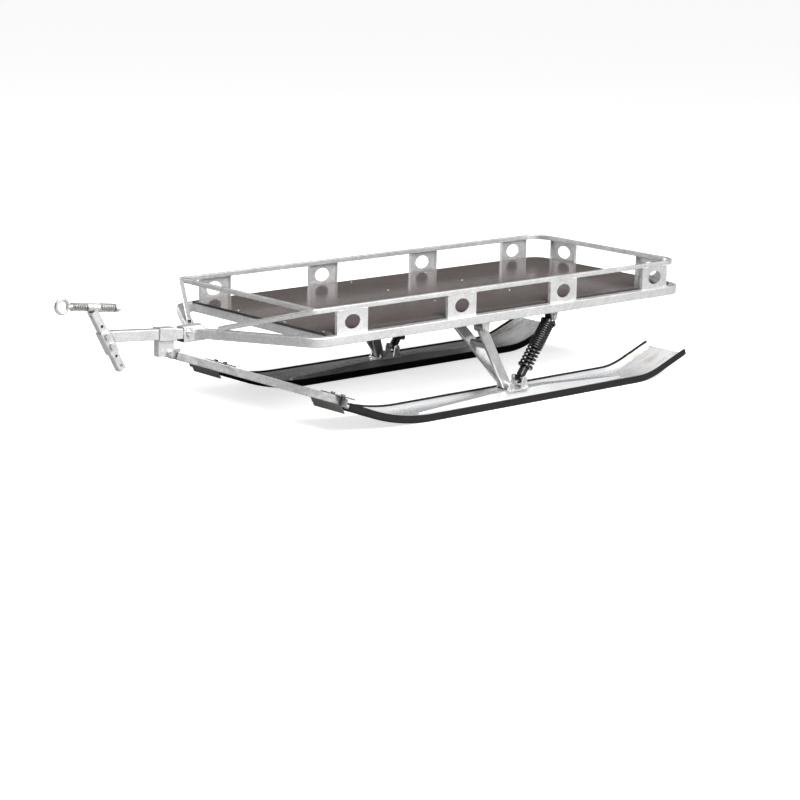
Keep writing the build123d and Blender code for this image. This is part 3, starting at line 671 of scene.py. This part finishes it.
# %% Places of the bolts
draw_tilt = radians(4.6)
draw_along = Vector((cos(draw_tilt), 0, sin(draw_tilt)))
draw_normal = Vector((-sin(draw_tilt), 0, cos(draw_tilt)))
draw_start = Vector((rear + 2.534, 0, 0.401))
socket_bolt_ahead = 0.028
hitch_lean = radians(28)
hitch_up = Vector((sin(hitch_lean), 0, cos(hitch_lean)))
sleeve_back = 0.138
hitch_top = eye_centre + eye_back * sleeve_back
hitch_reach = (hitch_top - draw_start).dot(draw_normal) / hitch_up.dot(draw_normal)
hitch_cross = hitch_top - hitch_up * hitch_reach
head_height = 0.011
pole_low, pole_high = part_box("pole_bolt")

bolts = (
    # middle, half of the clamped width, shank radius
    (hitch_cross + hitch_up * 0.003, 0.0225, 0.0062),
    (hitch_cross - hitch_up * 0.046, 0.0225, 0.0062),
    (draw_start + draw_along * (socket_bolt_ahead / cos(draw_tilt)), 0.0265, 0.008),
    ((pole_low + pole_high) / 2, pole_high.y - head_height, 0.007),
)
for middle, half, bolt_radius in bolts:
    print("bolt at", [round(v, 3) for v in middle], "half width", round(half, 4))

# %% [markdown]
# ## Washers and bolt ends
# Each through bolt has a washer under its head and under its nut, and its end stands a few
# threads proud of the nut. Both are turned parts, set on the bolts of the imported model.

# %% Washers and bolt ends
washer_radius = 0.0172
washer_sheet = 0.0022
washer_outline = (
    (0.0, 0.0),
    (0.0, washer_radius),
    (washer_sheet - 0.0005, washer_radius),
    (washer_sheet, washer_radius - 0.0006),
    (washer_sheet, 0.0),
)
end_reach = 0.005
end_bevel = 0.001
end_root = 0.001
end_facets = 16

fittings = bmesh.new()
for middle, half, bolt_radius in bolts:
    for way in (left, -left):
        lathe(fittings, middle + way * half, way, washer_outline)
    end_outline = (
        (0.0, 0.0),
        (0.0, bolt_radius),
        (end_reach, bolt_radius),
        (end_reach + end_bevel, bolt_radius - end_bevel),
        (end_reach + end_bevel, 0.0),
    )
    end_base = middle - left * (half + head_height - end_root)
    lathe(fittings, end_base, -left, end_outline, end_facets)
make_piece(fittings, "washers_and_bolt_ends", "bolt_zinc", "sled")

# %% [markdown]
# ## Deck screws
# Low round-headed screws hold the board down on the cross tubes. A head is a shallow dome with
# a small driver recess, so its outline rises from the rim and dips in the middle.

# %% Deck screws
deck_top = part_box("deck")[1].z
deck_tubes = ("cross_tube_front", "cross_tube_arms", "cross_tube_shocks")
screw_places = (-0.42, -0.16, 0.16, 0.42)
screw_facets = 16
screw_sink = 0.001
screw_radius = 0.0044
screw_rise = 0.0028
screw_outline = (
    (-screw_sink, 0.0),
    (-screw_sink, screw_radius),
    (0.0006, screw_radius),
    (screw_rise * 0.75, screw_radius * 0.72),
    (screw_rise, screw_radius * 0.42),
    (screw_rise * 0.45, screw_radius * 0.34),
    (screw_rise * 0.4, 0.0),
)

screws = bmesh.new()
for tube in deck_tubes:
    tube_low, tube_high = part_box(tube)
    tube_x = (tube_low.x + tube_high.x) / 2
    for across in screw_places:
        lathe(screws, Vector((tube_x, across, deck_top)), up, screw_outline, screw_facets)
make_piece(screws, "deck_screws", "bolt_zinc", "sled")

# %% [markdown]
# ## Laying a weld
# The plates and cross tubes are welded on. A bead is a row of overlapping small blobs, the
# stacked ripples that a welder leaves. One small sphere, flattened and repeated, lays it. Each
# row is made apart and then added, because a bmesh that grows slows every operator on it.

# %% Bead layer
bead_radius = 0.0026
bead_step = 0.0022
bead_flatness = 0.62
off_axis = Vector((0.3, 0.2, 1))


def lay_bead(mesh, start, end):
    """Row of flattened blobs from one point to the other."""
    run = end - start
    count = max(2, round(run.length / bead_step))
    blob = across_to(run, off_axis) @ Matrix.Diagonal((1, 1, bead_flatness, 1))
    row = bmesh.new()
    for i in range(count + 1):
        place = Matrix.Translation(start + run * (i / count)) @ blob
        bmesh.ops.create_uvsphere(
            row, u_segments=7, v_segments=5, radius=bead_radius, matrix=place
        )
    row_data = bpy.data.meshes.new("bead_row")
    row.to_mesh(row_data)
    row.free()
    mesh.from_mesh(row_data)
    bpy.data.meshes.remove(row_data)


print("bead layer ready")

# %% [markdown]
# ## Weld beads
# A plate is stitched at its four corners, to the frame below and the rail above, so that it
# doesn't warp. A cross tube has a bead down both faces at each end. Each bead is given by its
# two ends.

# %% Weld beads
frame_top = 0.421
rail_base = 0.521
plate_y = 0.479
plate_half = 0.084
stitch = 0.034
stitch_inset = 0.004
first_plate = 0.198
plate_run = 1.856
plate_shares = (0, 0.327, 0.664, 1)
rear_face = rear + 0.021
rear_spread = 0.289
frame_inside = 0.460
tube_edge = 0.017


def stitches(middle):
    """Ends of the two stitches along a plate's edge, and the heights of both edges."""
    for way in (1, -1):
        outer = middle + way * (plate_half - stitch_inset)
        for height in (frame_top, rail_base):
            yield outer, outer - way * stitch, height


seams = []
for side in (1, -1):
    y = side * plate_y
    for share in plate_shares:
        for outer, inner, z in stitches(rear + first_plate + share * plate_run):
            seams.append(((outer, y, z), (inner, y, z)))
    for outer, inner, z in stitches(side * rear_spread):
        seams.append(((rear_face, outer, z), (rear_face, inner, z)))
    for tube in deck_tubes:
        tube_low, tube_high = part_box(tube)
        tube_z = (tube_low.z + tube_high.z) / 2
        y = side * frame_inside
        for x in (tube_low.x, tube_high.x):
            seams.append(((x, y, tube_z - tube_edge), (x, y, tube_z + tube_edge)))

beads = bmesh.new()
for start, end in seams:
    lay_bead(beads, Vector(start), Vector(end))
make_piece(beads, "weld_beads", "galvanised_steel", "sled")

# %% [markdown]
# ## Shock adjusters
# A small black lug stands out behind the top of each shock, with a round knob for the damping.
# The lug is a box with rounded edges and the knob is turned, then both are set along the shock.

# %% Shock adjusters
lug_at = 0.268
lug_reach = 0.024
lug_size = (0.020, 0.020, 0.030)
lug_rounding = 0.003
knob_offset = 0.006
knob_radius = 0.008
knob_length = 0.022
knob_bevel = 0.002
knob_facets = 14
knob_outline = (
    (0.0, 0.0),
    (0.0, knob_radius),
    (knob_length - knob_bevel, knob_radius),
    (knob_length, knob_radius - knob_bevel),
    (knob_length, 0.0),
)


def rounded_box(mesh, place, size, rounding, segments):
    box = bmesh.ops.create_cube(mesh, size=1, matrix=place @ Matrix.Diagonal((*size, 1)))
    bmesh.ops.bevel(
        mesh,
        geom=edges_of(box["verts"]),
        offset=rounding,
        segments=segments,
        profile=0.5,
        affect="EDGES",
        material=-1,
    )


adjusters = bmesh.new()
shock_back = shock_axis.cross(left)
lug_turn = Matrix((left, shock_back, shock_axis)).transposed().to_4x4()
for side in (1, -1):
    lug_middle = on_shock(side, lug_at) + shock_back * lug_reach
    lug_place = Matrix.Translation(lug_middle) @ lug_turn
    rounded_box(adjusters, lug_place, lug_size, lug_rounding, 3)
    knob_top = lug_middle + (shock_back - shock_axis) * knob_offset
    lathe(adjusters, knob_top, -shock_axis, knob_outline, knob_facets)
make_piece(adjusters, "shock_adjusters", "damper_black", "sled")

# %% [markdown]
# ## Spring seats
# A pressed steel cup holds each end of a shock spring. It is a thin disc with a turned-up rim, so
# its outline goes out along the disc, up the rim and back down inside it.

# %% Spring seats
seat_places = (
    # along the shock, way that the rim turns
    (0.058, 1),
    (0.299, -1),
)
seat_radius = 0.0355
seat_hole = 0.012
seat_sheet = 0.0045
seat_edge = 0.001
rim_height = 0.0095
rim_sheet = 0.0016
seat_outline = (
    (0.0, seat_hole),
    (0.0, seat_radius - seat_edge),
    (seat_edge, seat_radius),
    (rim_height, seat_radius),
    (rim_height, seat_radius - rim_sheet),
    (seat_sheet, seat_radius - rim_sheet),
    (seat_sheet, seat_hole),
    (0.0, seat_hole),
)

seats = bmesh.new()
for side in (1, -1):
    for along, way in seat_places:
        lathe(seats, on_shock(side, along), shock_axis * way, seat_outline, turned_facets)
make_piece(seats, "spring_seats", "damper_black", "sled")

# %% [markdown]
# ## Ears for the pins
# A saddle holds each pin between a pair of ears. An ear runs from a broad foot to a round end,
# the shape a rubber band takes round a ring and a bar, so a convex hull makes it from a few
# points of both.

# %% Ear helper
saddle_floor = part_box("ski_saddles")[0].z
base_size = Vector((0.132, 0.092, 0.006))
ear_outside = 0.072
ear_sheet = 0.006
ear_facets = 24


def add_ear(mesh, pin, way, round_end, foot):
    """One ear on the given side of a pin's middle, with its foot inside the base plate."""
    outline = []
    for reach in (ear_outside / 2, ear_outside / 2 - ear_sheet):
        spot = pin + left * (way * reach)
        ring_place = Matrix.Translation(spot) @ Matrix.Rotation(pi / 2, 4, "X")
        outline += bmesh.ops.create_circle(
            mesh, segments=ear_facets, radius=round_end, cap_ends=False, matrix=ring_place
        )["verts"]
        for toe in (foot / 2, -foot / 2):
            toe_place = (spot.x + toe, spot.y, saddle_floor + base_size.z / 2)
            outline.append(mesh.verts.new(toe_place))
    hull = bmesh.ops.convex_hull(mesh, input=outline)
    inside = [part for part in hull["geom_interior"] if isinstance(part, bmesh.types.BMVert)]
    bmesh.ops.delete(mesh, geom=inside, context="VERTS")


print("ear helper ready")

# %% [markdown]
# ## Ski saddles
# A saddle carries each ski: a plate bolted to the rib by four studs, with one pair of ears for
# the arm and one for the shock. A stud's nut is a lathe outline spun in six steps, which gives
# the hexagon.

# %% Ski saddles
base_ahead = 0.0425
base_rounding = 0.0015
ear_rows = (
    # pin ahead of the shock's foot, pin height, round end's radius, foot length
    (0.085, 0.068, 0.0145, 0.044),
    (0.0, 0.088, 0.0135, 0.042),
)
stud_ahead = 0.056
stud_across = 0.040
stud_sink = 0.001
stud_radius = 0.0065
stud_height = 0.0055
stud_outline = (
    (-stud_sink, 0.0),
    (-stud_sink, stud_radius),
    (stud_height * 0.7, stud_radius),
    (stud_height, stud_radius * 0.7),
    (stud_height, 0.0),
)

saddles = bmesh.new()
for side in (1, -1):
    middle_y = side * ski_y
    base_half = base_size.z / 2
    base_middle = Vector((shock_foot.x + base_ahead, middle_y, saddle_floor + base_half))
    rounded_box(saddles, Matrix.Translation(base_middle), base_size, base_rounding, 2)
    for ahead, height, round_end, foot in ear_rows:
        for way in (1, -1):
            pin = Vector((shock_foot.x + ahead, middle_y, height))
            add_ear(saddles, pin, way, round_end, foot)
    for ahead in (stud_ahead, -stud_ahead):
        for across in (stud_across, -stud_across):
            stud_base = base_middle + Vector((ahead, across, base_half))
            lathe(saddles, stud_base, up, stud_outline, 6)
make_piece(saddles, "saddle_brackets", "galvanised_steel", "sled", ("ski_saddles",))

# %% [markdown]
# ## Studio floor
# A wide pale floor carries the sled. Seen straight on it glows a little, like lit paper, so that
# it reads as white and still takes a soft shadow. For the light it throws back at the steel it is
# a duller grey, or the undersides would be as bright as the tops.

# %% Floor
floor_reach = 90

floor_mesh = bmesh.new()
bmesh.ops.create_grid(floor_mesh, x_segments=1, y_segments=1, size=floor_reach)
floor_data = bpy.data.meshes.new("studio_floor")
floor_mesh.to_mesh(floor_data)
floor_mesh.free()
floor_finish, floor_graph = new_finish("pale_floor")
paper = {
    "Base Color": (0.62, 0.62, 0.62, 1),
    "Roughness": 0.9,
    "Emission Color": (1, 1, 1, 1),
    "Emission Strength": 0.72,
}
seen_floor = floor_graph.node("ShaderNodeBsdfPrincipled", {}, paper)
lit_floor = floor_graph.node("ShaderNodeBsdfDiffuse", {}, {"Color": (0.33, 0.33, 0.33, 1)})
seen = floor_graph.node("ShaderNodeLightPath", {}, {}, output="Is Camera Ray")
floor_mix = floor_graph.node("ShaderNodeMixShader", {}, {0: seen, 1: lit_floor, 2: seen_floor})
floor_graph.node("ShaderNodeOutputMaterial", {}, {"Surface": floor_mix})
floor_data.materials.append(floor_finish)
floor = bpy.data.objects.new("studio_floor", floor_data)
bpy.context.scene.collection.objects.link(floor)
print("floor", floor.name)

# %% [markdown]
# ## Surround
# What bright metal shows is mostly what stands round it. The surround is pale above and to the
# left, and dim low down and in front, so that faces turned to the front read as grey and the
# ski tops have something dark to mirror.

# %% Surround
surround = bpy.data.worlds.new("soft_surround")
surround.use_nodes = True
bpy.context.scene.world = surround
sky = Graph(surround.node_tree)
heading = sky.node("ShaderNodeTexCoord", {}, {}, output="Generated")
ahead, leftward, upward = [
    sky.node("ShaderNodeSeparateXYZ", {}, {"Vector": heading}, output=axis) for axis in "XYZ"
]
shade = sky.ramp(ahead, [(0.0, 1.0), (0.6, 0.08)])
window = sky.ramp(leftward, [(0.25, 0.0), (0.85, 1.0)])
near_side = sky.ramp(leftward * 0.5 + 0.5, [(0.2, 0.85), (0.65, 1.0)])
dome = sky.ramp(upward, [(0.38, 0.0), (0.72, 1.0)]) * near_side
glow = (0.05 + 0.62 * dome + 0.25 * window) * shade
backdrop = sky.node("ShaderNodeBackground", {}, {"Color": (1, 1, 1, 1), "Strength": glow})
sky.node("ShaderNodeOutputWorld", {}, {"Surface": backdrop})
print("surround", surround.name)

# %% [markdown]
# ## Studio light
# One large softbox hangs high on the left and a weak one overhead. A low one on the right fills
# the far side, so that the sled reads from all round.

# %% Softboxes
softboxes = (
    # name, place, aim, size, power
    ("left_softbox", (-0.4, 4.6, 5.2), (-0.3, 0, 0.2), 5.0, 1190),
    ("right_softbox", (1.6, -7.0, 1.8), (-0.3, 0, 0.3), 4.0, 330),
    ("top_softbox", (-1.0, 0.5, 5.5), (-0.3, 0, 0.3), 6.0, 24),
)
for name, place, aim, size, power in softboxes:
    light = bpy.data.lights.new(name, "AREA")
    light.size = size
    light.energy = power
    lamp = bpy.data.objects.new(name, light)
    lamp.location = place
    lamp.rotation_euler = (Vector(aim) - Vector(place)).to_track_quat("-Z", "Y").to_euler()
    bpy.context.scene.collection.objects.link(lamp)
bpy.context.scene.view_settings.view_transform = "Standard"
print("softboxes", len(softboxes))
